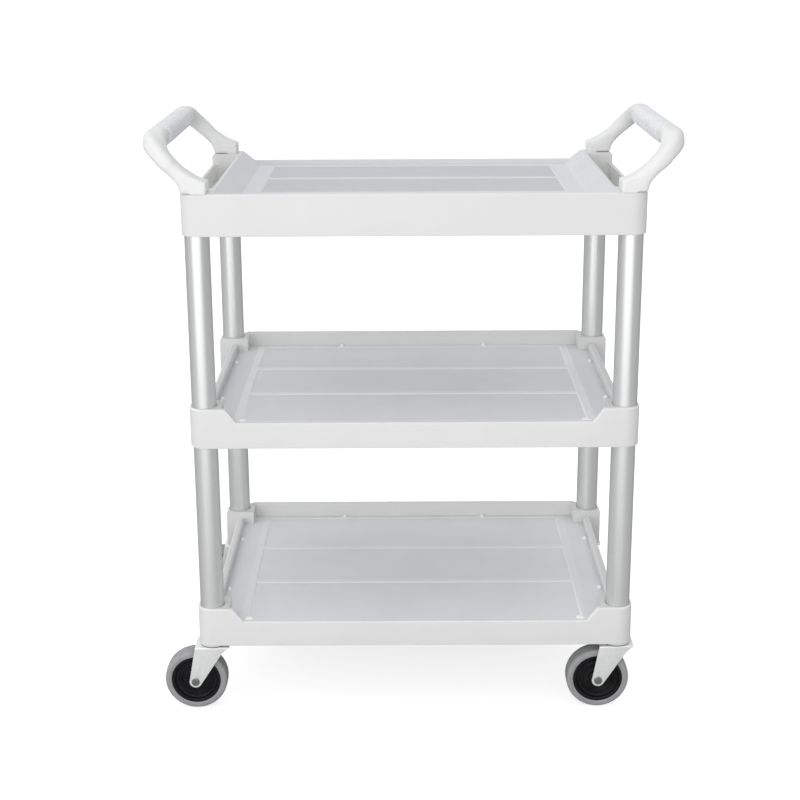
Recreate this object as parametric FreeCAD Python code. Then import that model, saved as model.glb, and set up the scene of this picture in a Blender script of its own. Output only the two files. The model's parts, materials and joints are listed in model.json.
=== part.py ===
import FreeCAD, Part
import math
import os

# Three-shelf service trolley. Millimetres, +Z up, +X to the right, front is -Y.
# The floor is z = 0 and the trolley is centred on X and Y.

V = FreeCAD.Vector
X_AXIS = V(1, 0, 0)
Y_AXIS = V(0, 1, 0)
Z_AXIS = V(0, 0, 1)

# Shelves
HALF_LENGTH = 350.5
HALF_WIDTH = 236.5
CORNER_RADIUS = 24.0
EDGE_RADIUS = 3.0
FOOT_EDGE_RADIUS = 1.2
BOTTOM_Z = 116.5
MIDDLE_Z = 453.0
TOP_Z = 788.0
BLOCK_HEIGHT = 64.0
BLOCK_DEPTH = 50.0
BLOCK_INNER_X = 300.0
SKIRT = 4.0
DECK_THICKNESS = 4.0
RECESS = 1.2
RIB_Y = 74.0
RIB_WIDTH = 9.0
UNDER_RIB_DEPTH = 12.0
UNDER_RIB_THICKNESS = 3.0

# Middle and bottom shelves: high rear rim, lower sides, flush front
DECK_RISE = 41.0
FRONT_LIP_RISE = 42.5
SIDE_WALL_RISE = 54.0
REAR_RIM_RISE = 66.0
RIM_THICKNESS = 12.0
SIDE_WALL_OUTER_X = 330.0
LIP_THICKNESS = 7.0
RAMP_FOOT_X = 277.0
RAMP_TOP_X = 293.5
PANEL_END_X = 271.0

# Top shelf: high front lip, low rear rim, a ridge and a well at each end
TOP_DECK_RISE = 40.0
TOP_REAR_RISE = 48.0
TOP_LIP_THICKNESS = 10.0
RIDGE_OUTER_X = 306.0
RIDGE_INNER_X = 301.0
RIDGE_FOOT_X = 272.0
WELL_OUTER_X = 345.0
WELL_HALF_Y = 180.0
WELL_FLOOR_RISE = 19.0
TOP_PANEL_END_X = 245.0

# Uprights and their sockets
POST_RADIUS = 19.05
POST_WALL = 1.6
POST_X = 328.0
POST_Y = 212.5
SOCKET_CLEARANCE = 0.15
SOCKET_CHAMFER = 1.5
SOCKET_DEPTH = 30.0
TOP_SOCKET_DEPTH = 36.0

# Handles
FOOT_INNER_Y = 195.0
FOOT_OUTER_Y = 236.0
BAR_X = 391.5
BAR_Z = 924.5
BAR_HALF_WIDTH = 17.5
BAR_HALF_HEIGHT = 15.5
BAR_HALF_SPAN = 165.0
GRIP_HALF_SPAN = 120.0
GRIP_THICKNESS = 2.5
GRIP_CUFF = 7.0
GRIP_GROOVES = 26
GROOVE_RADIUS = 0.8
SCREW_RADIUS = 2.5
RING_STEPS = 16
SQUARENESS = 0.7

# Plugs pressed into the decks
LARGE_PLUG_RADIUS = 7.5
SMALL_PLUG_RADIUS = 4.0
PLUG_HEAD = 2.5
PLUG_SHANK = 3.0
PLUG_SEAT_GAP = 0.15

# Casters
WHEEL_RADIUS = 50.8
WHEEL_WIDTH = 31.0
HUB_RADIUS = 40.0
TRAIL = 30.0
BUSHING_RADIUS = 8.0
AXLE_RADIUS = 4.0
RUNNING_CLEARANCE = 0.06
LEG_INNER_Y = 18.5
LEG_THICKNESS = 3.0
CROWN_TOP_Z = 111.5
CROWN_THICKNESS = 3.0
FLANGE_THICKNESS = 3.0
FLANGE_RADIUS = 22.0
STEM_RADIUS = 6.0
SLEEVE_RADIUS = 12.0
SLEEVE_TOP_Z = 148.5

CASTERS = {
    "front_left": (-POST_X, -POST_Y),
    "front_right": (POST_X, -POST_Y),
    "rear_left": (-POST_X, POST_Y),
    "rear_right": (POST_X, POST_Y),
}


def box(x0, x1, y0, y1, z0, z1):
    return Part.makeBox(x1 - x0, y1 - y0, z1 - z0, V(x0, y0, z0))


def rod(x, y, z0, z1, radius):
    return Part.makeCylinder(radius, z1 - z0, V(x, y, z0), Z_AXIS)


def cross_rod(x, y0, y1, z, radius):
    return Part.makeCylinder(radius, y1 - y0, V(x, y0, z), Y_AXIS)


def prism(outline, direction):
    wire = Part.makePolygon(outline + [outline[0]])
    return Part.Face(wire).extrude(direction)


def is_along(edge, axis):
    if not isinstance(edge.Curve, Part.Line):
        return False
    return abs(edge.tangentAt(edge.FirstParameter).dot(axis)) > 0.999


def rounded_box(x0, x1, y0, y1, z0, z1, radius):
    block = box(x0, x1, y0, y1, z0, z1)
    return block.makeFillet(radius, [e for e in block.Edges if is_along(e, Z_AXIS)])


def soften(shape, radius, heights):
    """Round the horizontal edges that lie at the given heights."""
    edges = []
    for edge in shape.Edges:
        bounds = edge.BoundBox
        flat = bounds.ZLength < 0.01
        if flat and any(abs(bounds.ZMin - z) < 0.01 for z in heights):
            edges.append(edge)
    return shape.makeFillet(radius, edges)


def corners(shape):
    """The shape and its mirror images in the other three corners."""
    right = [shape, shape.mirror(V(0, 0, 0), Y_AXIS)]
    left = [s.mirror(V(0, 0, 0), X_AXIS) for s in right]
    return right + left


def sides(shape):
    return [shape, shape.mirror(V(0, 0, 0), X_AXIS)]


def export(shape, node):
    shape.exportStep("parts/" + node + ".step")


def shelf_plan(z0, z1, top_radius=0.0):
    """Rounded rectangle of the whole shelf, with its bottom edge and optionally its top edge softened."""
    plan = rounded_box(-HALF_LENGTH, HALF_LENGTH, -HALF_WIDTH, HALF_WIDTH, z0, z1, CORNER_RADIUS)
    plan = soften(plan, FOOT_EDGE_RADIUS, [z0])
    return soften(plan, top_radius, [z1]) if top_radius else plan


def deck_recesses(end_x, front_y, rear_y, deck_z):
    """Three shallow panels along the deck, parted by two raised ribs."""
    gap = RIB_WIDTH / 2
    bands = [(front_y, -RIB_Y - gap), (-RIB_Y + gap, RIB_Y - gap), (RIB_Y + gap, rear_y)]
    return [rounded_box(-end_x, end_x, a, b, deck_z - RECESS, deck_z + 1, 6.0) for a, b in bands]


def under_ribs(half_x, deck_z):
    z1 = deck_z - DECK_THICKNESS + 0.5
    z0 = deck_z - DECK_THICKNESS - UNDER_RIB_DEPTH
    half = UNDER_RIB_THICKNESS / 2
    reach = HALF_WIDTH - SKIRT + 0.5
    along = [box(-half_x, half_x, y - half, y + half, z0, z1) for y in (-RIB_Y, RIB_Y)]
    across = [box(x - half, x + half, -reach, reach, z0, z1) for x in (-165, 0, 165)]
    return along + across


def corner_blocks(z0):
    z1 = z0 + BLOCK_HEIGHT
    y0 = HALF_WIDTH - BLOCK_DEPTH
    block = box(BLOCK_INNER_X, HALF_LENGTH + 1, y0, HALF_WIDTH + 1, z0, z1)
    return corners(block.common(shelf_plan(z0, z1, EDGE_RADIUS)))


def front_lip(z0):
    """Thin wall along the front that ramps up to meet the corner blocks."""
    low, high = z0 + FRONT_LIP_RISE, z0 + BLOCK_HEIGHT
    end_x = BLOCK_INNER_X + 2
    outline = [(-end_x, high), (-RAMP_TOP_X, high), (-RAMP_FOOT_X, low),
               (RAMP_FOOT_X, low), (RAMP_TOP_X, high), (end_x, high)]
    foot_z = z0 + DECK_RISE - DECK_THICKNESS
    outline += [(end_x, foot_z), (-end_x, foot_z)]
    lip = prism([V(x, -HALF_WIDTH, z) for x, z in outline], V(0, LIP_THICKNESS, 0))
    top = [e for e in lip.Edges if e.BoundBox.ZMin > low - 0.01 and e.BoundBox.YMax < 0.01 - HALF_WIDTH]
    return lip.makeFillet(EDGE_RADIUS, top)


def carrying_shelf(z0, socket_floors, caster_bores):
    """A middle or bottom shelf: flush front, low sides, high rear rim."""
    deck_z = z0 + DECK_RISE
    above = z0 + 90
    foot_z = deck_z - DECK_THICKNESS
    block_y = HALF_WIDTH - BLOCK_DEPTH
    inset = rounded_box(SIDE_WALL_OUTER_X, HALF_LENGTH + 30, -block_y, block_y, z0 - 1, above, 8.0)
    lip_slot = box(-BLOCK_INNER_X, BLOCK_INNER_X, -HALF_WIDTH - 1, LIP_THICKNESS - HALF_WIDTH, foot_z, above)
    shelf = shelf_plan(z0, deck_z).cut(sides(inset) + [lip_slot])

    rim_z = z0 + REAR_RIM_RISE
    rim = box(-BLOCK_INNER_X - 6, BLOCK_INNER_X + 6, HALF_WIDTH - RIM_THICKNESS, HALF_WIDTH, foot_z, rim_z)
    rim = rim.makeFillet(EDGE_RADIUS, [e for e in rim.Edges if e.BoundBox.ZMin > rim_z - 0.01])
    wall_x = SIDE_WALL_OUTER_X - RIM_THICKNESS
    wall = box(wall_x, SIDE_WALL_OUTER_X, -block_y - 2, block_y + 2, foot_z, z0 + SIDE_WALL_RISE)
    crest = [e for e in wall.Edges if is_along(e, Y_AXIS) and e.BoundBox.ZMin > deck_z]
    wall = wall.makeFillet(EDGE_RADIUS, crest)
    shelf = shelf.fuse(corner_blocks(z0) + [front_lip(z0), rim] + sides(wall))

    half_x = SIDE_WALL_OUTER_X - SKIRT
    half_y = HALF_WIDTH - SKIRT
    hollow = rounded_box(-half_x, half_x, -half_y, half_y, z0 - 1, foot_z, 10.0)
    columns = corners(box(BLOCK_INNER_X, HALF_LENGTH, block_y, HALF_WIDTH, z0 - 2, deck_z))
    shelf = shelf.cut(hollow.cut(columns))
    shelf = shelf.fuse(under_ribs(half_x + 0.5, deck_z))
    shelf = shelf.cut(deck_recesses(PANEL_END_X, -222.0, 214.0, deck_z))
    shelf = shelf.cut(sockets(socket_floors) + socket_chamfers(z0 + BLOCK_HEIGHT) + plug_holes(z0))
    if caster_bores:
        shelf = shelf.cut(corners(rod(POST_X, POST_Y, z0 - 1, SLEEVE_TOP_Z, SLEEVE_RADIUS)))
    return shelf.removeSplitter()


def sockets(floors):
    """Post sockets, each given as a (start, end) height pair."""
    radius = POST_RADIUS + SOCKET_CLEARANCE
    holes = []
    for low, high in floors:
        holes += corners(rod(POST_X, POST_Y, low, high, radius))
    return holes


def socket_chamfers(top_z):
    """Small countersinks where the uprights rise out of the blocks."""
    radius = POST_RADIUS + SOCKET_CLEARANCE
    start = V(POST_X, POST_Y, top_z - SOCKET_CHAMFER)
    return corners(Part.makeCone(radius, radius + SOCKET_CHAMFER, SOCKET_CHAMFER, start, Z_AXIS))


def top_shelf():
    """The top shelf: high front lip, flush rear, a ridge and a deep well at each end."""
    deck_z = TOP_Z + TOP_DECK_RISE
    top = TOP_Z + BLOCK_HEIGHT
    rear_z = TOP_Z + TOP_REAR_RISE
    shelf = shelf_plan(TOP_Z, top, EDGE_RADIUS)

    tray_front = TOP_LIP_THICKNESS - HALF_WIDTH
    tray_rear = HALF_WIDTH - TOP_LIP_THICKNESS
    slope = (RIDGE_INNER_X - RIDGE_FOOT_X) / (top - deck_z)
    rear_x = RIDGE_FOOT_X + slope * (rear_z - deck_z)
    above = top + 10
    above_x = RIDGE_INNER_X + slope * 10
    tray = prism([V(-RIDGE_FOOT_X, tray_front, deck_z), V(RIDGE_FOOT_X, tray_front, deck_z),
                  V(above_x, tray_front, above), V(-above_x, tray_front, above)],
                 V(0, tray_rear - tray_front, 0))
    rear_gate = prism([V(-rear_x, 0, rear_z), V(rear_x, 0, rear_z),
                       V(above_x, 0, above), V(-above_x, 0, above)],
                      V(0, HALF_WIDTH + 1, 0))
    floor_z = TOP_Z + WELL_FLOOR_RISE
    well = rounded_box(RIDGE_OUTER_X, WELL_OUTER_X, -WELL_HALF_Y, WELL_HALF_Y, floor_z, above, 10.0)
    end_gate = box(WELL_OUTER_X - 10, HALF_LENGTH + 1, -WELL_HALF_Y, WELL_HALF_Y, rear_z, above)
    shelf = shelf.cut([tray, rear_gate] + sides(well) + sides(end_gate))

    half_x = RIDGE_OUTER_X - SKIRT
    half_y = HALF_WIDTH - SKIRT
    hollow = rounded_box(-half_x, half_x, -half_y, half_y, TOP_Z - 1, deck_z - DECK_THICKNESS, 10.0)
    end_hollow = rounded_box(half_x - 1, HALF_LENGTH - SKIRT, -half_y, half_y,
                             TOP_Z - 1, floor_z - DECK_THICKNESS, 6.0)
    columns = corners(box(BLOCK_INNER_X, HALF_LENGTH, HALF_WIDTH - BLOCK_DEPTH, HALF_WIDTH, TOP_Z - 2, deck_z))
    shelf = shelf.cut([hollow.cut(columns)] + [s.cut(columns) for s in sides(end_hollow)])
    shelf = shelf.fuse(under_ribs(half_x + 0.5, deck_z))
    shelf = shelf.cut(deck_recesses(TOP_PANEL_END_X, -212.0, 212.0, deck_z))
    shelf = shelf.cut(sockets([(TOP_Z - 1, TOP_Z + TOP_SOCKET_DEPTH)]))
    shelf = shelf.cut(corners(rod(POST_X, POST_Y, TOP_Z, top + 1, SCREW_RADIUS)))
    return shelf.removeSplitter()


def plug_spots():
    """Plan positions of the plugs in one shelf, as (x, y, radius)."""
    large = [(x, -221.0, LARGE_PLUG_RADIUS) for x in (-268.0, 268.0)]
    rear = [(x, 219.0, SMALL_PLUG_RADIUS) for x in (-130.0, 130.0)]
    ends = [(x, y, SMALL_PLUG_RADIUS) for x in (-312.5, 312.5) for y in (-108.0, 108.0)]
    return large, rear + ends


def plug_holes(z0):
    """Shank holes for all plugs, and shallow seats for the large ones, level with the panels."""
    large, small = plug_spots()
    deck_z = z0 + DECK_RISE
    seats = [rod(x, y, deck_z - RECESS, deck_z + 1, r + PLUG_SEAT_GAP) for x, y, r in large]
    return seats + [rod(x, y, deck_z - PLUG_SHANK, deck_z + 1, r / 2) for x, y, r in large + small]


def plug(x, y, deck_z, radius, seat_depth):
    top = deck_z + PLUG_HEAD
    head = rod(x, y, deck_z - seat_depth, top, radius)
    head = soften(head, PLUG_HEAD * 0.6, [top])
    return head.fuse(rod(x, y, deck_z - PLUG_SHANK, deck_z + 0.2, radius / 2)).removeSplitter()


def plugs(size_class, seat_depth):
    pieces = []
    for z0 in (BOTTOM_Z, MIDDLE_Z):
        spots = plug_spots()[size_class]
        pieces += [plug(x, y, z0 + DECK_RISE, r, seat_depth) for x, y, r in spots]
    return Part.makeCompound(pieces)


def upright(x, y, z0, z1):
    tube = rod(x, y, z0, z1, POST_RADIUS)
    return tube.cut(rod(x, y, z0 - 1, z1 + 1, POST_RADIUS - POST_WALL))


def ring(centre, tangent, normal, half_width, half_height):
    """Points round a softly squared section, wide across the tangent and high along the normal."""
    t = V(*tangent).normalize()
    n = V(*normal)
    n = (n - t * n.dot(t)).normalize()
    side = t.cross(n)
    points = []
    for step in range(RING_STEPS):
        angle = math.tau * step / RING_STEPS - math.pi / 2
        c, s = math.cos(angle), math.sin(angle)
        across = half_width * math.copysign(abs(c) ** SQUARENESS, c)
        along = half_height * math.copysign(abs(s) ** SQUARENESS, s)
        points.append(V(*centre) + side * across + n * along)
    return points


def bar_ring(y, shrink):
    return ring((BAR_X, y, BAR_Z), (0, 1, 0), (0, 0, 1), BAR_HALF_WIDTH - shrink, BAR_HALF_HEIGHT - shrink)


def bar_piece(half_span, shrink):
    """Middle stretch of the bar, with its section shrunk all round."""
    curve = Part.BSplineCurve()
    curve.interpolate(Points=bar_ring(-half_span, shrink), PeriodicFlag=True)
    return Part.Face(Part.Wire(curve.toShape())).extrude(V(0, 2 * half_span, 0))


def skin(rings):
    """Solid with a smooth side through closed rings of points, and flat ends."""
    surface = Part.BSplineSurface()
    surface.interpolate([points + [points[0]] for points in rings])
    first, last = surface.bounds()[:2]
    ends = [Part.Face(Part.Wire(surface.uIso(u).toShape())) for u in (first, last)]
    shell = Part.makeCompound([surface.toShape()] + ends)
    shell.sewShape(0.01)
    solid = Part.makeSolid(shell.Shells[0])
    if solid.Volume < 0:
        solid.reverse()
    return solid


def handle_rail():
    """Right handle from inside its front foot, along the bar, to inside its rear foot."""
    front = [
        ((331.5, -215.5, 860.0), (0.55, 0.0, 0.83), (-0.83, 0, 0.55), 19.6, 15.0),
        ((340.5, -215.7, 869.8), (0.65, 0.0, 0.76), (-0.76, 0, 0.65), 19.6, 13.2),
        ((350.0, -215.8, 879.5), (0.72, 0.0, 0.69), (-0.69, 0, 0.72), 19.6, 12.0),
        ((368.0, -214.0, 897.0), (0.70, 0.12, 0.70), (-0.67, 0, 0.74), 19.5, 12.5),
        ((382.5, -205.0, 912.0), (0.48, 0.65, 0.55), (-0.6, 0, 0.8), 18.5, 14.0),
        ((389.5, -187.0, 921.0), (0.18, 0.96, 0.2), (-0.3, 0, 0.95), 17.8, 15.3),
    ]
    rear = [((x, -y, z), (-tx, ty, -tz), normal, width, height)
            for (x, y, z), (tx, ty, tz), normal, width, height in reversed(front)]
    bar = [bar_ring(BAR_HALF_SPAN * share, 0) for share in (-1, -0.67, -0.33, 0, 0.33, 0.67, 1)]
    return skin([ring(*station) for station in front] + bar + [ring(*station) for station in rear])


def handle_foot():
    """Wedge that stands on the top shelf and sweeps up into the arm."""
    z0 = TOP_Z + BLOCK_HEIGHT
    y = -FOOT_OUTER_Y
    sweep = Part.Arc(V(309, y, z0 + 17), V(326, y, z0 + 24.5), V(341, y, z0 + 35)).toShape()
    rest = Part.makePolygon([V(341, y, z0 + 35), V(357.5, y, z0 + 19.5), V(350, y, z0 + 12),
                             V(350, y, z0), V(309, y, z0), V(309, y, z0 + 17)])
    foot = Part.Face(Part.Wire([sweep] + rest.Edges)).extrude(V(0, FOOT_OUTER_Y - FOOT_INNER_Y, 0))
    upper = [e for e in foot.Edges if e.BoundBox.ZMax > z0 + 0.1 and not is_along(e, Y_AXIS)]
    return foot.makeFillet(3.0, upper)


def handle(side):
    foot = handle_foot()
    screw_hole = rod(POST_X, -POST_Y, 800, TOP_Z + BLOCK_HEIGHT + 14, SCREW_RADIUS)
    shape = handle_rail().fuse([foot, foot.mirror(V(0, 0, 0), Y_AXIS)])
    groove = bar_piece(GRIP_HALF_SPAN, -5).cut(bar_piece(GRIP_HALF_SPAN + 1, GRIP_THICKNESS))
    shape = shape.cut([box(300, 420, -260, 260, 780, TOP_Z + BLOCK_HEIGHT), groove,
                       screw_hole, screw_hole.mirror(V(0, 0, 0), Y_AXIS)])
    shape = shape.removeSplitter().Solids[0]
    return shape if side > 0 else shape.mirror(V(0, 0, 0), X_AXIS)


def grip(side):
    """Sleeve round the bar with grooves along it between plain end cuffs."""
    sleeve = bar_piece(GRIP_HALF_SPAN, 0).cut(bar_piece(GRIP_HALF_SPAN + 1, GRIP_THICKNESS))
    outline = Part.BSplineCurve()
    outline.interpolate(Points=bar_ring(0, 0), PeriodicFlag=True)
    reach = GRIP_HALF_SPAN - GRIP_CUFF
    grooves = []
    for point in outline.discretize(Number=GRIP_GROOVES + 1)[:-1]:
        grooves.append(cross_rod(point.x, -reach, reach, point.z, GROOVE_RADIUS))
    shape = sleeve.cut(grooves)
    return shape if side > 0 else shape.mirror(V(0, 0, 0), X_AXIS)


def handle_screws():
    web_z = TOP_Z + TOP_SOCKET_DEPTH
    head = rod(POST_X, POST_Y, web_z - 4, web_z, 6.0)
    screw = head.fuse(rod(POST_X, POST_Y, web_z - 1, TOP_Z + BLOCK_HEIGHT + 13, SCREW_RADIUS))
    return Part.makeCompound(corners(screw.removeSplitter()))


def caster_sleeve(x, y):
    return rod(x, y, BOTTOM_Z, SLEEVE_TOP_Z, SLEEVE_RADIUS).cut(rod(x, y, 100, 200, STEM_RADIUS))


def caster_stem(x, y):
    """Fixed stem: threaded above, flange under the block, kingpin with a head below the crown."""
    flange = rod(x, y, BOTTOM_Z - FLANGE_THICKNESS, BOTTOM_Z, FLANGE_RADIUS)
    stem = rod(x, y, 106.0, SLEEVE_TOP_Z - 2, STEM_RADIUS)
    head = soften(rod(x, y, 104.0, 108.2, 10.0), 1.5, [104.0])
    return flange.fuse([stem, head]).removeSplitter()


def ball_cage(x, y):
    return rod(x, y, 111.8, BOTTOM_Z - FLANGE_THICKNESS, 18.5).cut(rod(x, y, 100, 200, 9.0))


def race_ring(x, y):
    return rod(x, y, CROWN_TOP_Z, 113.2, 21.5).cut(rod(x, y, 100, 200, 18.8))


def fork_leg(x, y0):
    """One tapered leg, rounded at the axle."""
    axle_x = x - TRAIL
    outline = [V(x - 29, y0, CROWN_TOP_Z), V(x + 26, y0, CROWN_TOP_Z), V(x + 14, y0, 100.0),
               V(axle_x + 8.3, y0, 45.2), V(axle_x - 10, y0, WHEEL_RADIUS)]
    leg = prism(outline, V(0, LEG_THICKNESS, 0))
    return leg.fuse(cross_rod(axle_x, y0, y0 + LEG_THICKNESS, WHEEL_RADIUS, 10.0))


def fork(x, y):
    outer = LEG_INNER_Y + LEG_THICKNESS
    crown = box(x - 29, x + 26, y - outer, y + outer, CROWN_TOP_Z - CROWN_THICKNESS, CROWN_TOP_Z)
    shape = crown.fuse([fork_leg(x, y + LEG_INNER_Y), fork_leg(x, y - outer)]).removeSplitter()
    bends = [e for e in shape.Edges if is_along(e, X_AXIS) and e.BoundBox.ZMin > CROWN_TOP_Z - 0.01]
    shape = shape.makeFillet(2.8, bends)
    shape = shape.cut(rod(x, y, 100, 120, STEM_RADIUS + RUNNING_CLEARANCE))
    return shape.cut(cross_rod(x - TRAIL, y - 40, y + 40, WHEEL_RADIUS, AXLE_RADIUS))


def axle(x, y):
    """Axle with its domed head on the outer side of the trolley."""
    outer = LEG_INNER_Y + LEG_THICKNESS
    axle_x = x - TRAIL
    out = math.copysign(1, y)
    ends = sorted([y + out * outer, y - out * (outer + 7)])
    shank = cross_rod(axle_x, ends[0], ends[1], WHEEL_RADIUS, AXLE_RADIUS)
    head = Part.makeCylinder(6.5, 2.5, V(axle_x, y + out * outer, WHEEL_RADIUS), Y_AXIS * out)
    rims = [e for e in head.Edges if abs(e.BoundBox.Center.y - (y + out * (outer + 2.5))) < 0.01]
    return shank.fuse(head.makeFillet(1.6, rims)).removeSplitter()


def axle_nut(x, y):
    out = math.copysign(1, y)
    start = y - out * (LEG_INNER_Y + LEG_THICKNESS)
    ring = [math.radians(60 * step) for step in range(6)]
    outline = [V(x - TRAIL + 7.5 * math.cos(a), start, WHEEL_RADIUS + 7.5 * math.sin(a)) for a in ring]
    nut = prism(outline, V(0, -5.5 * out, 0))
    return nut.cut(cross_rod(x - TRAIL, y - 60, y + 60, WHEEL_RADIUS, AXLE_RADIUS))


def turned(x, y, profile):
    """Solid turned about the wheel axle from (radius, half width) steps, the same on both faces."""
    centre = V(x - TRAIL, y, WHEEL_RADIUS)
    right = [centre + V(0, half, radius) for radius, half in profile]
    left = [centre + V(0, -half, radius) for radius, half in reversed(profile)]
    wire = Part.makePolygon(right + left + [right[0]])
    return Part.Face(wire).revolve(centre, Y_AXIS, 360)


def tyre(x, y):
    half = WHEEL_WIDTH / 2
    ring = cross_rod(x - TRAIL, y - half, y + half, WHEEL_RADIUS, WHEEL_RADIUS)
    rims = [e for e in ring.Edges if isinstance(e.Curve, Part.Circle)]
    ring = ring.makeFillet(6.0, rims)
    return ring.cut(cross_rod(x - TRAIL, y - 40, y + 40, WHEEL_RADIUS, HUB_RADIUS))


def hub(x, y):
    """Solid moulded wheel centre: rim, dished web with a ridge, long boss."""
    profile = [(BUSHING_RADIUS, 17.5), (12.5, 17.5), (14.0, 16.0), (15.0, 10.0), (23.0, 9.0), (24.0, 11.0),
               (27.0, 11.0), (28.0, 9.0), (33.0, 10.0), (35.0, 14.0), (HUB_RADIUS, 14.5)]
    return turned(x, y, profile)


def bushing(x, y):
    length = LEG_INNER_Y - 0.3
    return turned(x, y, [(AXLE_RADIUS + RUNNING_CLEARANCE, length), (BUSHING_RADIUS, length)])


def build():
    os.makedirs("parts", exist_ok=True)
    middle_web = MIDDLE_Z + SOCKET_DEPTH
    bottom_socket = BOTTOM_Z + BLOCK_HEIGHT - SOCKET_DEPTH
    middle_sockets = [(MIDDLE_Z - 1, middle_web), (middle_web + 4, MIDDLE_Z + BLOCK_HEIGHT + 1)]
    export(carrying_shelf(BOTTOM_Z, [(bottom_socket, BOTTOM_Z + BLOCK_HEIGHT + 1)], True), "bottom_shelf")
    export(carrying_shelf(MIDDLE_Z, middle_sockets, False), "middle_shelf")
    export(top_shelf(), "top_shelf")
    export(plugs(0, RECESS), "deck_plugs")
    export(plugs(1, 0.0), "rim_plugs")
    export(handle_screws(), "handle_screws")
    for name, side in (("left", -1), ("right", 1)):
        export(handle(side), "handle_" + name)
        export(grip(side), "grip_" + name)
    for name, (x, y) in CASTERS.items():
        export(upright(x, y, bottom_socket, middle_web), "lower_upright_" + name)
        export(upright(x, y, middle_web + 4, TOP_Z + TOP_SOCKET_DEPTH), "upper_upright_" + name)
        makers = {"sleeve": caster_sleeve, "stem": caster_stem, "ball_cage": ball_cage, "race": race_ring,
                  "fork": fork, "axle": axle, "axle_nut": axle_nut, "tyre": tyre, "hub": hub,
                  "bushing": bushing}
        for piece, make in makers.items():
            export(make(x, y), "caster_" + name + "_" + piece)


build()
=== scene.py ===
import json
import math

import bmesh
import bpy
from mathutils import Matrix, Vector

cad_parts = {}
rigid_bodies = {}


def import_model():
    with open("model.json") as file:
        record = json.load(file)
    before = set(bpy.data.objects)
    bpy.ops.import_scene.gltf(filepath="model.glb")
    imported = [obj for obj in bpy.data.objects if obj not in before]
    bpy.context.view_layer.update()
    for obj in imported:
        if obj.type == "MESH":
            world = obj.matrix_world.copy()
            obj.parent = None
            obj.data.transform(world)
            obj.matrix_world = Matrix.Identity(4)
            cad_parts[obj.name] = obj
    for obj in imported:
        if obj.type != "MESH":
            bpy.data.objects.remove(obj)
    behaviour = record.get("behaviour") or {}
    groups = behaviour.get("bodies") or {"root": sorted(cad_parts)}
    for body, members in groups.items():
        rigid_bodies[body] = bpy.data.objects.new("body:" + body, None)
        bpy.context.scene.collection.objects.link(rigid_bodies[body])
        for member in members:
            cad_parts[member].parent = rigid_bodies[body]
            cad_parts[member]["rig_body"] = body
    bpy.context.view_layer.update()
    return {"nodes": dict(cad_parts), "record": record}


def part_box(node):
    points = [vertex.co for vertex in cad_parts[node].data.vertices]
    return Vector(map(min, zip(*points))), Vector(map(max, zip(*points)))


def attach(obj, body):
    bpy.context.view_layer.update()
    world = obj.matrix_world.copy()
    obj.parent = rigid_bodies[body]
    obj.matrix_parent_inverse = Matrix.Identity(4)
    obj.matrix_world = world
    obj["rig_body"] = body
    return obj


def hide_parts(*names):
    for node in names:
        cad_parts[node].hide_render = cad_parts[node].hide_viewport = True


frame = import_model()
nodes = frame["nodes"]
CASTERS = ("front_left", "front_right", "rear_left", "rear_right")


# ---------------------------------------------------------------- materials

def new_material(name, color, roughness, metallic=0.0, specular=0.5):
    """A Principled material, with its uniform values on the shader's own sockets."""
    material = bpy.data.materials.new(name)
    material.use_nodes = True
    shader = material.node_tree.nodes["Principled BSDF"]
    shader.inputs["Base Color"].default_value = (*color, 1.0)
    shader.inputs["Roughness"].default_value = roughness
    shader.inputs["Metallic"].default_value = metallic
    shader.inputs["Specular IOR Level"].default_value = specular
    return material, material.node_tree, shader


def coordinates(tree, stretch=(1.0, 1.0, 1.0)):
    texture = tree.nodes.new("ShaderNodeTexCoord")
    mapping = tree.nodes.new("ShaderNodeMapping")
    mapping.inputs["Scale"].default_value = stretch
    tree.links.new(texture.outputs["Object"], mapping.inputs["Vector"])
    return mapping.outputs["Vector"]


def noise(tree, vector, scale, detail=3.0, roughness=0.5):
    node = tree.nodes.new("ShaderNodeTexNoise")
    node.inputs["Scale"].default_value = scale
    node.inputs["Detail"].default_value = detail
    node.inputs["Roughness"].default_value = roughness
    tree.links.new(vector, node.inputs["Vector"])
    return node.outputs["Fac"]


def ramp(tree, factor, low, high, first, last):
    """Colour ramp from first to last between two positions of the factor."""
    node = tree.nodes.new("ShaderNodeValToRGB")
    node.color_ramp.elements[0].position = low
    node.color_ramp.elements[1].position = high
    node.color_ramp.elements[0].color = (*first, 1.0)
    node.color_ramp.elements[1].color = (*last, 1.0)
    tree.links.new(factor, node.inputs["Fac"])
    return node.outputs["Color"]


def spread(tree, factor, low, high):
    node = tree.nodes.new("ShaderNodeMapRange")
    node.inputs["From Min"].default_value = 0.3
    node.inputs["From Max"].default_value = 0.7
    node.inputs["To Min"].default_value = low
    node.inputs["To Max"].default_value = high
    tree.links.new(factor, node.inputs["Value"])
    return node.outputs["Result"]


def bump(tree, shader, height, distance, strength=1.0, before=None):
    node = tree.nodes.new("ShaderNodeBump")
    node.inputs["Distance"].default_value = distance
    node.inputs["Strength"].default_value = strength
    tree.links.new(height, node.inputs["Height"])
    if before is not None:
        tree.links.new(before, node.inputs["Normal"])
    tree.links.new(node.outputs["Normal"], shader.inputs["Normal"])
    return node.outputs["Normal"]


def mottled(tree, factor, color, share):
    """Colour that wanders by the given share to either side of its middle value."""
    darker = [value * (1 - share) for value in color]
    lighter = [value * (1 + share) for value in color]
    return ramp(tree, factor, 0.3, 0.7, darker, lighter)


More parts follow.
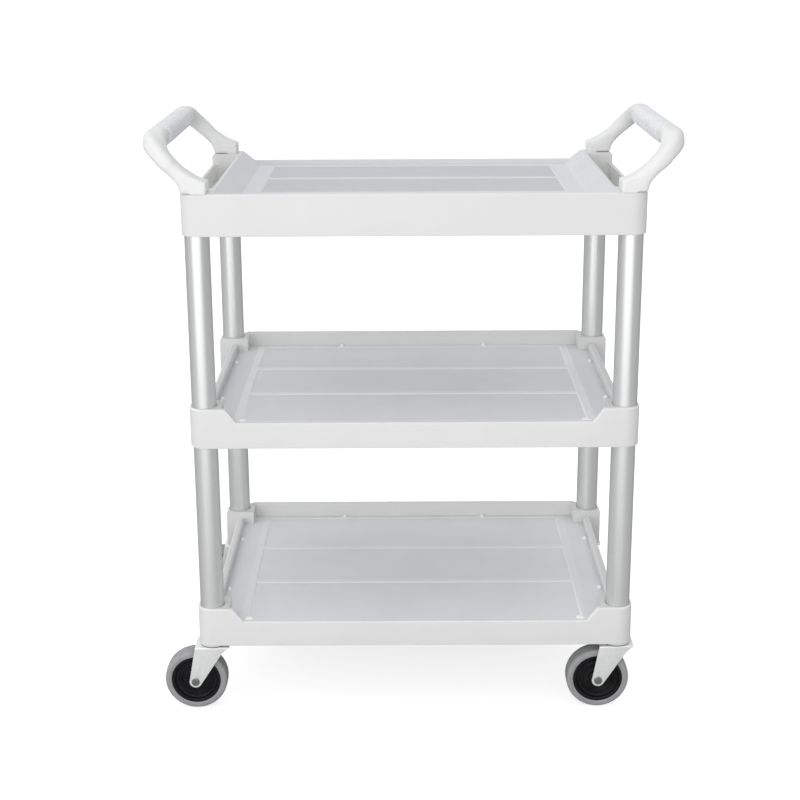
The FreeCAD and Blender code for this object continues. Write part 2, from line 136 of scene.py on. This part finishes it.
def white_plastic(name, color):
    """Structural foam plastic: satin, faint mould swirls, fine grain."""
    material, tree, shader = new_material(name, color, 0.45, specular=0.35)
    vector = coordinates(tree)
    swirl = noise(tree, vector, 9.0, 5.0, 0.6)
    tree.links.new(mottled(tree, swirl, color, 0.02), shader.inputs["Base Color"])
    tree.links.new(spread(tree, noise(tree, vector, 40.0, 4.0), 0.38, 0.52), shader.inputs["Roughness"])
    soft = bump(tree, shader, noise(tree, vector, 60.0, 2.0), 0.00015, 0.5)
    bump(tree, shader, noise(tree, vector, 1400.0, 2.0), 0.00006, 0.6, soft)
    return material


def deck_plastic(name, color):
    """A deck surface: the same plastic with a coarser grain that keeps goods from sliding."""
    material, tree, shader = new_material(name, color, 0.55, specular=0.3)
    vector = coordinates(tree)
    swirl = noise(tree, vector, 7.0, 6.0, 0.65)
    tree.links.new(mottled(tree, swirl, color, 0.03), shader.inputs["Base Color"])
    tree.links.new(spread(tree, noise(tree, vector, 30.0, 4.0), 0.5, 0.68), shader.inputs["Roughness"])
    bump(tree, shader, noise(tree, vector, 700.0, 3.0, 0.6), 0.00025, 0.8)
    return material


def grip_plastic():
    """Soft-touch insert, slightly violet grey."""
    material, tree, shader = new_material("grip_plastic", (0.825, 0.822, 0.845), 0.55, specular=0.35)
    vector = coordinates(tree)
    mottle = noise(tree, vector, 60.0, 4.0)
    color = ramp(tree, mottle, 0.3, 0.7, (0.79, 0.787, 0.81), (0.86, 0.857, 0.88))
    tree.links.new(color, shader.inputs["Base Color"])
    tree.links.new(spread(tree, noise(tree, vector, 120.0), 0.48, 0.62), shader.inputs["Roughness"])
    bump(tree, shader, noise(tree, vector, 1800.0, 2.0), 0.00008, 0.7)
    return material


def aluminium_tube():
    """Drawn and anodised tube: fine lines along its length."""
    material, tree, shader = new_material("aluminium_tube", (0.78, 0.785, 0.775), 0.4, 0.9, 0.3)
    shader.inputs["Specular Tint"].default_value = (0.55, 0.56, 0.57, 1.0)
    lines = coordinates(tree, (900.0, 900.0, 3.0))
    streaks = noise(tree, lines, 1.0, 3.0)
    color = ramp(tree, streaks, 0.25, 0.75, (0.75, 0.755, 0.745), (0.81, 0.815, 0.805))
    tree.links.new(color, shader.inputs["Base Color"])
    tree.links.new(spread(tree, noise(tree, lines, 0.7, 2.0), 0.34, 0.44), shader.inputs["Roughness"])
    bump(tree, shader, noise(tree, lines, 1.3, 2.0), 0.00003, 0.6)
    return material


def zinc_steel(name, color, metallic):
    """Pressed steel with zinc plating, lightly mottled."""
    material, tree, shader = new_material(name, color, 0.45, metallic=metallic)
    vector = coordinates(tree)
    spangle = noise(tree, vector, 160.0, 6.0, 0.7)
    tree.links.new(mottled(tree, spangle, color, 0.05), shader.inputs["Base Color"])
    tree.links.new(spread(tree, noise(tree, vector, 220.0, 4.0), 0.34, 0.50), shader.inputs["Roughness"])
    bump(tree, shader, noise(tree, vector, 900.0, 3.0), 0.00005, 0.6)
    return material


def bearing_steel():
    """Dark oiled steel of the ball cages and bushings, kept this dark also as painted shade in the gap
    between the caster crown and the shelf.
    """
    material, tree, shader = new_material("bearing_steel", (0.12, 0.12, 0.12), 0.35, metallic=0.9)
    vector = coordinates(tree)
    tree.links.new(spread(tree, noise(tree, vector, 300.0), 0.25, 0.45), shader.inputs["Roughness"])
    color = ramp(tree, noise(tree, vector, 90.0, 4.0), 0.3, 0.7, (0.08, 0.078, 0.075), (0.2, 0.2, 0.2))
    tree.links.new(color, shader.inputs["Base Color"])
    bump(tree, shader, noise(tree, vector, 700.0), 0.00003, 0.5)
    return material


def grey_tyre():
    """Grey rubber that leaves no marks, dusty, with a little scuffing."""
    material, tree, shader = new_material("grey_tyre", (0.33, 0.33, 0.335), 0.55, specular=0.35)
    vector = coordinates(tree)
    dust = noise(tree, vector, 70.0, 5.0, 0.6)
    color = ramp(tree, dust, 0.3, 0.75, (0.28, 0.28, 0.285), (0.37, 0.37, 0.375))
    tree.links.new(color, shader.inputs["Base Color"])
    tree.links.new(spread(tree, noise(tree, vector, 200.0, 3.0), 0.46, 0.68), shader.inputs["Roughness"])
    bump(tree, shader, noise(tree, vector, 1200.0, 3.0), 0.0001, 0.6)
    return material


def black_hub():
    """Glossy black nylon with faint flow marks."""
    material, tree, shader = new_material("black_hub", (0.004, 0.004, 0.004), 0.35, specular=0.2)
    vector = coordinates(tree)
    flow = noise(tree, vector, 50.0, 4.0)
    color = ramp(tree, flow, 0.35, 0.7, (0.004, 0.004, 0.005), (0.010, 0.010, 0.011))
    tree.links.new(color, shader.inputs["Base Color"])
    tree.links.new(spread(tree, noise(tree, vector, 160.0), 0.22, 0.4), shader.inputs["Roughness"])
    bump(tree, shader, noise(tree, vector, 1500.0), 0.00005, 0.5)
    return material


MATERIALS = {
    "white_plastic": white_plastic("white_plastic", (0.725, 0.727, 0.715)),
    "grip_plastic": grip_plastic(),
    "aluminium_tube": aluminium_tube(),
    "zinc_steel": zinc_steel("zinc_steel", (0.79, 0.795, 0.785), 0.4),
    "bearing_steel": bearing_steel(),
    "grey_tyre": grey_tyre(),
    "black_hub": black_hub(),
}
# The shelves are one white plastic. These deck and rib colours are copies of it painted lighter on the
# lower shelves and darker on the top shelf, with the ribs painted lighter than their decks: painted
# light and shade.
LOWER_DECK_PAINTED_LIGHT = deck_plastic("lower_deck_painted_light", (0.775, 0.775, 0.80))
TOP_DECK_PAINTED_SHADE = deck_plastic("top_deck_painted_shade", (0.565, 0.565, 0.585))
MIDDLE_RIBS_PAINTED_LIGHT = deck_plastic("middle_ribs_painted_light", (0.86, 0.86, 0.87))
BOTTOM_RIBS_PAINTED_LIGHT = deck_plastic("bottom_ribs_painted_light", (0.81, 0.81, 0.825))
TOP_RIBS_PAINTED_LIGHT = deck_plastic("top_ribs_painted_light", (0.70, 0.697, 0.72))
# The handles are the shelves' white plastic painted lighter: painted light for the light falling on
# their arms.
HANDLE_PAINTED_LIGHT = white_plastic("handle_painted_light", (0.79, 0.792, 0.78))
# Plug heads: the white plastic painted near white, a painted highlight for the gloss of the domes.
PLUG_PAINTED_HIGHLIGHT = white_plastic("plug_painted_highlight", (0.93, 0.93, 0.93))
# Axles: the zinc steel painted dark, as painted shade for the shade in the axle heads.
AXLE_PAINTED_SHADE = zinc_steel("axle_painted_shade", (0.20, 0.20, 0.20), 0.7)
# Races: the zinc steel painted dark, as painted shade in the gap between the caster crown and the shelf
# above.
RACE_PAINTED_SHADE = zinc_steel("race_painted_shade", (0.35, 0.35, 0.34), 0.9)
SLOTS = {entry["node"]: entry["material_slot"] for entry in frame["record"]["subparts"]}


def material_or_painted_light_of(name):
    """Material of a CAD node: its slot's material, or a copy of it painted lighter or darker: near white
    on the plugs as painted highlight, dark on the axles and races as painted shade.
    """
    if name.endswith("_plugs"):
        return PLUG_PAINTED_HIGHLIGHT
    if "_axle" in name:
        return AXLE_PAINTED_SHADE
    if name.endswith("_race"):
        return RACE_PAINTED_SHADE
    return MATERIALS[SLOTS[name]]


def paint_cad_nodes():
    for name, obj in nodes.items():
        obj.data.materials.clear()
        obj.data.materials.append(material_or_painted_light_of(name))


# ---------------------------------------------------------------- pieces

WELD_DISTANCE = 0.00002
FLAT_ANGLE = math.radians(0.5)
BEVEL_ANGLE = math.radians(32)
SHELF_EDGE = 0.0012
HANDLE_EDGE = 0.0002
GRIP_EDGE = 0.0003
FORK_EDGE = 0.0007
TYRE_EDGE = 0.0003
HUB_EDGE = 0.0006
PLUG_EDGE = 0.0001


def cleaned_mesh(node):
    """The node's mesh as a bmesh, with doubled points merged and flat faces joined."""
    bm = bmesh.new()
    bm.from_mesh(nodes[node].data)
    bmesh.ops.remove_doubles(bm, verts=bm.verts, dist=WELD_DISTANCE)
    bmesh.ops.dissolve_limit(bm, angle_limit=FLAT_ANGLE, verts=bm.verts, edges=bm.edges)
    return bm


def finished_piece(bm, node, name, width, segments=3):
    """Turns a bmesh into a piece that stands for a CAD node, with its sharp edges rounded."""
    mesh = bpy.data.meshes.new(node + name)
    bm.to_mesh(mesh)
    bm.free()
    piece = bpy.data.objects.new(node + name, mesh)
    bpy.context.scene.collection.objects.link(piece)
    mesh.materials.append(MATERIALS[SLOTS[node]])
    for polygon in mesh.polygons:
        polygon.use_smooth = True
    bevel = piece.modifiers.new("edges", "BEVEL")
    bevel.width = width
    bevel.segments = segments
    bevel.limit_method = "ANGLE"
    bevel.angle_limit = BEVEL_ANGLE
    bevel.harden_normals = True
    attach(piece, nodes[node]["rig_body"])
    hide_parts(node)
    return piece


def softened(node, name, width, segments=3):
    """The CAD shape itself as a piece, with its sharp edges rounded."""
    return finished_piece(cleaned_mesh(node), node, name, width, segments)


# Height of a shelf's deck above its underside, and half the length of its rib frame
LOWER_DECK_RISE = 0.041
TOP_DECK_RISE = 0.040
LOWER_FRAME_X = 0.283
TOP_FRAME_X = 0.275
RECESS_DEPTH = 0.0012
RECESS_SLOPE = 0.0025
LEVEL_TOLERANCE = 0.0002

# Upward part of a face's normal: over LEVEL it lies flat, under WALL it stands, between
# SLANT and LEVEL it slants
LEVEL = 0.99
WALL = 0.3
SLANT = 0.2

# Material indices on a shelf, after its white plastic: the deck and the rib frame, whose colours are
# copies of the white plastic painted lighter or darker, as painted light and shade
DECK_PAINTED_LIGHT_INDEX = 1
FRAME_PAINTED_LIGHT_INDEX = 2


def cut_across(bm, x):
    geometry = bm.verts[:] + bm.edges[:] + bm.faces[:]
    bmesh.ops.bisect_plane(bm, geom=geometry, plane_co=(x, 0, 0), plane_no=(1, 0, 0))


def slope_panels(bm, panels):
    """Draws the recessed panels in from their walls, so that the ribs round them get sloping flanks."""
    inside = set(panels)
    moves = {}
    flanks = set()
    for face in panels:
        face.material_index = DECK_PAINTED_LIGHT_INDEX
        for vert in face.verts:
            walls = [wall.normal for wall in vert.link_faces if abs(wall.normal.z) < WALL]
            if walls:
                moves[vert] = sum(walls, Vector()).normalized() * RECESS_SLOPE
        for edge in face.edges:
            flanks.update(flank for flank in edge.link_faces if flank not in inside)
    # The flanks take the rib frame's colour, painted lighter than the deck as painted highlight.
    for flank in flanks:
        flank.material_index = FRAME_PAINTED_LIGHT_INDEX
        for edge in flank.edges:
            edge.smooth = all(other in flanks for other in edge.link_faces)
    for vert, move in moves.items():
        vert.co += move
    bmesh.ops.triangulate(bm, faces=panels)


def moulded_shelf(node, deck_rise, frame_x, deck_painted_light, frame_painted_light, end_painted_light_index):
    """Shelf moulding: grained deck inside and outside a lighter rib frame with sloping flanks. Deck and
    frame take lit and shaded copies of the white plastic, painted light and shade, and the frame is
    painted lighter than the deck as painted highlight.
    The slanted faces at the ends of the deck take the material with the index given as the last
    argument."""
    bm = cleaned_mesh(node)
    for x in (-frame_x, frame_x):
        cut_across(bm, x)
    bm.normal_update()
    deck_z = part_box(node)[0][2] + deck_rise
    panels = []
    for face in bm.faces:
        height = face.calc_center_bounds().z - deck_z
        if SLANT < face.normal.z < LEVEL and abs(face.normal.x) > SLANT and height > 0:
            face.material_index = end_painted_light_index
        elif face.normal.z < LEVEL:
            continue
        elif abs(height + RECESS_DEPTH) < LEVEL_TOLERANCE:
            panels.append(face)
        elif abs(height) < LEVEL_TOLERANCE:
            # Level faces inside the frame take the rib frame's painted highlight colour, the others the
            # deck's painted light and shade.
            inside = abs(face.calc_center_bounds().x) < frame_x
            face.material_index = FRAME_PAINTED_LIGHT_INDEX if inside else DECK_PAINTED_LIGHT_INDEX
    slope_panels(bm, panels)
    piece = finished_piece(bm, node, "_moulding", SHELF_EDGE)
    for polygon in piece.data.polygons:
        polygon.use_smooth = polygon.material_index != DECK_PAINTED_LIGHT_INDEX
    # Deck and rib frame colours: lit and shaded copies of the white plastic, painted light and shade.
    piece.data.materials.append(deck_painted_light)
    piece.data.materials.append(frame_painted_light)


SEAM_ANGLE = math.radians(12)
HANDLE_VOXEL = 0.002
BLEND_REACH = 0.02
BLEND_PASSES = 30


def seam_points(bm):
    """Middles of the inward creases, where the arms of a handle run into its feet."""
    points = []
    for edge in bm.edges:
        if not edge.is_convex and edge.calc_face_angle_signed(0.0) < -SEAM_ANGLE:
            points.append((edge.verts[0].co + edge.verts[1].co) / 2)
    return points


def remeshed(bm, name):
    """The same shape as a fine even mesh; the given bmesh is used up."""
    mesh = bpy.data.meshes.new(name)
    bm.to_mesh(mesh)
    bm.free()
    shell = bpy.data.objects.new(name, mesh)
    bpy.context.scene.collection.objects.link(shell)
    remesh = shell.modifiers.new("remesh", "REMESH")
    remesh.mode = "VOXEL"
    remesh.voxel_size = HANDLE_VOXEL
    evaluated = shell.evaluated_get(bpy.context.evaluated_depsgraph_get())
    fine = bmesh.new()
    fine.from_mesh(evaluated.to_mesh())
    bpy.data.objects.remove(shell)
    return fine


def blended_handle(node):
    """Handle moulding whose arms flow into the feet without a crease."""
    bm = cleaned_mesh(node)
    seams = seam_points(bm)
    bm = remeshed(bm, node + "_rough")
    near = []
    for vert in bm.verts:
        if any((vert.co - point).length < BLEND_REACH for point in seams):
            near.append(vert)
    axes = {"use_axis_x": True, "use_axis_y": True, "use_axis_z": True}
    for _ in range(BLEND_PASSES):
        bmesh.ops.smooth_vert(bm, verts=near, factor=0.5, **axes)
    piece = finished_piece(bm, node, "_moulding", HANDLE_EDGE, 1)
    # The white plastic painted lighter: painted light.
    piece.data.materials[0] = HANDLE_PAINTED_LIGHT


CREASE_OFFSET = -0.011
CREASE_SLOPE = 0.06
LEG_START = 0.015


def pressed_fork(caster):
    """Fork whose two legs are creased, so that their front parts lean in towards the wheel."""
    node = "caster_" + caster + "_fork"
    stem_low, stem_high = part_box("caster_" + caster + "_stem")
    middle = (Vector(stem_low) + Vector(stem_high)) / 2
    crease_x = middle.x + CREASE_OFFSET
    bm = cleaned_mesh(node)
    cut_across(bm, crease_x)
    for vert in bm.verts:
        out = vert.co.y - middle.y
        if vert.co.x > crease_x and abs(out) > LEG_START:
            vert.co.y -= math.copysign((vert.co.x - crease_x) * CREASE_SLOPE, out)
    finished_piece(bm, node, "_pressing", FORK_EDGE)


LATHE_SIDES = 112


def lathe(node, name, profile):
    """Closed (radius, offset) profile turned about the Y axis through the node's centre."""
    low, high = (Vector(corner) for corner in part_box(node))
    centre = (low + high) / 2
    bm = bmesh.new()
    rings = []
    for step in range(LATHE_SIDES):
        angle = math.tau * step / LATHE_SIDES
        direction = Vector((math.cos(angle), 0, math.sin(angle)))
        rings.append([bm.verts.new(centre + direction * r + Vector((0, y, 0))) for r, y in profile])
    for index, ring in enumerate(rings):
        following = rings[(index + 1) % LATHE_SIDES]
        for k in range(len(profile)):
            j = (k + 1) % len(profile)
            bm.faces.new((ring[k], ring[j], following[j], following[k]))
    bmesh.ops.recalc_face_normals(bm, faces=bm.faces)
    finished_piece(bm, node, name, TYRE_EDGE, 2)


def arc(centre_r, centre_y, radius, start, end, steps):
    """Points on an arc in the (radius, offset) plane, angles in degrees from the radial direction."""
    points = []
    for step in range(steps + 1):
        angle = math.radians(start + (end - start) * step / steps)
        points.append((centre_r + radius * math.cos(angle), centre_y + radius * math.sin(angle)))
    return points


SHOULDER = 0.006
SHOULDER_STEPS = 10
MOULD_LINE = 0.0003
MOULD_LINE_TOP = 0.0003
MOULD_LINE_FOOT = 0.0006

# Points of the tyre's side: distance outside the hub and depth below the side face
TYRE_SIDE = ((0, 0.0012), (0.0008, 0.0005), (0.0014, 0), (0.0030, 0),
             (0.0033, 0.0005), (0.0039, 0.0005), (0.0042, 0))


def tyre(caster):
    """Tyre with round shoulders, a mould line round the tread and a shallow groove in each side."""
    node = "caster_" + caster + "_tyre"
    low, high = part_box(node)
    half = (high[1] - low[1]) / 2
    outer = (high[2] - low[2]) / 2
    hub_low, hub_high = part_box("caster_" + caster + "_hub")
    inner = (hub_high[2] - hub_low[2]) / 2
    tread = outer - MOULD_LINE
    side = [(inner + out, half - depth) for out, depth in TYRE_SIDE]
    shoulder = arc(tread - SHOULDER, half - SHOULDER, SHOULDER, 90, 0, SHOULDER_STEPS)
    line = [(tread, MOULD_LINE_FOOT), (outer, MOULD_LINE_TOP)]
    upper = side + shoulder + line
    lower = [(r, -y) for r, y in reversed(upper)]
    lathe(node, "_rubber", upper + lower)


def plug_boxes(node):
    """Lowest and highest corner of each separate plug of a node."""
    bm = cleaned_mesh(node)
    waiting = set(bm.verts)
    boxes = []
    for first in bm.verts:
        if first not in waiting:
            continue
        waiting.remove(first)
        group = [first]
        for vert in group:
            joined = [edge.other_vert(vert) for edge in vert.link_edges]
            found = [other for other in joined if other in waiting]
            waiting.difference_update(found)
            group += found
        low = Vector([min(vert.co[axis] for vert in group) for axis in range(3)])
        high = Vector([max(vert.co[axis] for vert in group) for axis in range(3)])
        boxes.append((low, high))
    bm.free()
    return boxes


PLUG_HEAD = 0.0025
RIM_PLUG_DOME = 0.0045
PLUG_SINK = 0.0005
DOME_SIDES = 40
DOME_RINGS = 8


def dome_ring(bm, middle, radius, z):
    ring = []
    for side in range(DOME_SIDES):
        angle = math.tau * side / DOME_SIDES
        place = (middle.x + radius * math.cos(angle), middle.y + radius * math.sin(angle), z)
        ring.append(bm.verts.new(place))
    return ring


def add_dome(bm, middle, radius, foot, rise):
    """Closed dome of the given radius and rise, whose rim reaches a little below its foot."""
    rings = [dome_ring(bm, middle, radius, foot - PLUG_SINK)]
    for step in range(DOME_RINGS):
        lift = math.radians(90) * step / DOME_RINGS
        rings.append(dome_ring(bm, middle, radius * math.cos(lift), foot + rise * math.sin(lift)))
    tip = bm.verts.new((middle.x, middle.y, foot + rise))
    for side in range(DOME_SIDES):
        after = (side + 1) % DOME_SIDES
        for below, above in zip(rings, rings[1:]):
            bm.faces.new((below[side], below[after], above[after], above[side]))
        bm.faces.new((rings[-1][side], rings[-1][after], tip))
    bm.faces.new(list(reversed(rings[0])))


def domed_plugs(node, rise):
    """Plug heads as smooth domes of the given rise, sunk a little into the deck."""
    bm = bmesh.new()
    for low, high in plug_boxes(node):
        add_dome(bm, (low + high) / 2, (high.x - low.x) / 2, high.z - PLUG_HEAD, rise)
    piece = finished_piece(bm, node, "_domes", PLUG_EDGE, 1)
    # Near-white copy of the white plastic: painted highlight.
    piece.data.materials[0] = PLUG_PAINTED_HIGHLIGHT


# Lower shelves: deck and ribs painted lighter than the white plastic, as painted light.
def lower_shelf(node, rib_painted_light):
    moulded_shelf(node, LOWER_DECK_RISE, LOWER_FRAME_X, LOWER_DECK_PAINTED_LIGHT, rib_painted_light, DECK_PAINTED_LIGHT_INDEX)


def add_pieces():
    domed_plugs("deck_plugs", PLUG_HEAD)
    domed_plugs("rim_plugs", RIM_PLUG_DOME)
    lower_shelf("bottom_shelf", BOTTOM_RIBS_PAINTED_LIGHT)
    lower_shelf("middle_shelf", MIDDLE_RIBS_PAINTED_LIGHT)
    # Top shelf: deck and ribs painted darker than the white plastic, as painted shade.
    moulded_shelf("top_shelf", TOP_DECK_RISE, TOP_FRAME_X, TOP_DECK_PAINTED_SHADE, TOP_RIBS_PAINTED_LIGHT, FRAME_PAINTED_LIGHT_INDEX)
    for side in ("left", "right"):
        blended_handle("handle_" + side)
        softened("grip_" + side, "_sleeve", GRIP_EDGE, 2)
    for caster in CASTERS:
        pressed_fork(caster)
        tyre(caster)
        softened("caster_" + caster + "_hub", "_moulding", HUB_EDGE)


# ---------------------------------------------------------------- studio

CAMERA_PLACE = (-0.0142, -2.4443, 1.2206)
CAMERA_PITCH = math.radians(15.8)
CAMERA_YAW = math.radians(-0.20)
CAMERA_ROLL = math.radians(-0.31)
CAMERA_LENS = 67.49
CAMERA_SHIFT = -0.05

FLOOR_REACH = 60.0
FLOOR_GLOW = 0.72

SOFTBOX_PLACE = (-0.4, -2.3, 0.95)
SOFTBOX_TARGET = (0, 0, 0.6)
SOFTBOX_SIZE = (3.2, 1.9)
SOFTBOX_POWER = 26

# Brightness of the surround by direction, and the heights where the sides pass into the overhead light
SURROUND_COLOR = (0.99, 1.0, 1.01)
OVERHEAD_LEVEL = 1.05
FRONT_LEVEL = 0.7
BACK_LEVEL = 0.75
LEFT_LEVEL = 1.5
RIGHT_LEVEL = 0.6
FULL_SIDES = 0.3
FULL_OVERHEAD = 0.95


def add_camera():
    data = bpy.data.cameras.new("camera")
    data.lens = CAMERA_LENS
    data.shift_y = CAMERA_SHIFT
    camera = bpy.data.objects.new("camera", data)
    bpy.context.scene.collection.objects.link(camera)
    camera.location = CAMERA_PLACE
    turn = Matrix.Rotation(-CAMERA_YAW, 4, "Z")
    tilt = Matrix.Rotation(math.pi / 2 - CAMERA_PITCH, 4, "X")
    roll = Matrix.Rotation(CAMERA_ROLL, 4, "Z")
    camera.rotation_euler = (turn @ tilt @ roll).to_euler()
    bpy.context.scene.camera = camera


def add_softbox():
    data = bpy.data.lights.new("front", "AREA")
    data.shape = "RECTANGLE"
    data.size, data.size_y = SOFTBOX_SIZE
    data.energy = SOFTBOX_POWER
    light = bpy.data.objects.new("front", data)
    bpy.context.scene.collection.objects.link(light)
    light.visible_camera = False
    light.location = SOFTBOX_PLACE
    aim = Vector(SOFTBOX_TARGET) - Vector(SOFTBOX_PLACE)
    light.rotation_euler = aim.to_track_quat("-Z", "Y").to_euler()


def add_floor():
    """Pale matt floor that adds a glow in straight view, so that it stays white under soft light."""
    mesh = bpy.data.meshes.new("studio_floor")
    corners = [(x * FLOOR_REACH, y * FLOOR_REACH, 0) for x, y in ((-1, -1), (1, -1), (1, 1), (-1, 1))]
    mesh.from_pydata(corners, [], [(0, 1, 2, 3)])
    floor = bpy.data.objects.new("studio_floor", mesh)
    bpy.context.scene.collection.objects.link(floor)
    material, tree, shader = new_material("studio_floor", (0.5, 0.5, 0.5), 0.8, specular=0.0)
    shader.inputs["Emission Color"].default_value = (1.0, 1.0, 1.0, 1.0)
    path = tree.nodes.new("ShaderNodeLightPath")
    glow = scaled(tree, path.outputs["Is Camera Ray"], 0.0, 1.0, 0.0, FLOOR_GLOW)
    tree.links.new(glow, shader.inputs["Emission Strength"])
    mesh.materials.append(material)


def scaled(tree, value, low, high, first, last):
    """Smooth change from first to last while the value goes from low to high."""
    node = tree.nodes.new("ShaderNodeMapRange")
    node.interpolation_type = "SMOOTHSTEP"
    node.inputs["From Min"].default_value = low
    node.inputs["From Max"].default_value = high
    node.inputs["To Min"].default_value = first
    node.inputs["To Max"].default_value = last
    tree.links.new(value, node.inputs["Value"])
    return node.outputs["Result"]


def combined(tree, operation, first, second):
    node = tree.nodes.new("ShaderNodeMath")
    node.operation = operation
    tree.links.new(first, node.inputs[0])
    tree.links.new(second, node.inputs[1])
    return node.outputs["Value"]


def add_world():
    """Soft surround: brighter at the left than at the right, even overhead, white in straight view."""
    world = bpy.data.worlds.new("studio")
    world.use_nodes = True
    tree = world.node_tree
    texture = tree.nodes.new("ShaderNodeTexCoord")
    split = tree.nodes.new("ShaderNodeSeparateXYZ")
    tree.links.new(texture.outputs["Generated"], split.inputs["Vector"])
    behind = scaled(tree, split.outputs["Y"], -0.8, 0.15, FRONT_LEVEL, BACK_LEVEL)
    sideways = scaled(tree, split.outputs["X"], -1.0, 1.0, LEFT_LEVEL, RIGHT_LEVEL)
    around = combined(tree, "MULTIPLY", behind, sideways)
    low_share = scaled(tree, split.outputs["Z"], FULL_SIDES, FULL_OVERHEAD, 1.0, 0.0)
    overhead = scaled(tree, split.outputs["Z"], FULL_SIDES, FULL_OVERHEAD, 0.0, OVERHEAD_LEVEL)
    level = combined(tree, "ADD", combined(tree, "MULTIPLY", around, low_share), overhead)
    path = tree.nodes.new("ShaderNodeLightPath")
    level = combined(tree, "MAXIMUM", level, path.outputs["Is Camera Ray"])
    background = tree.nodes["Background"]
    background.inputs["Color"].default_value = (*SURROUND_COLOR, 1.0)
    tree.links.new(level, background.inputs["Strength"])
    bpy.context.scene.world = world
    bpy.context.scene.view_settings.view_transform = "Standard"


paint_cad_nodes()
add_pieces()
add_camera()
add_world()
add_floor()
add_softbox()
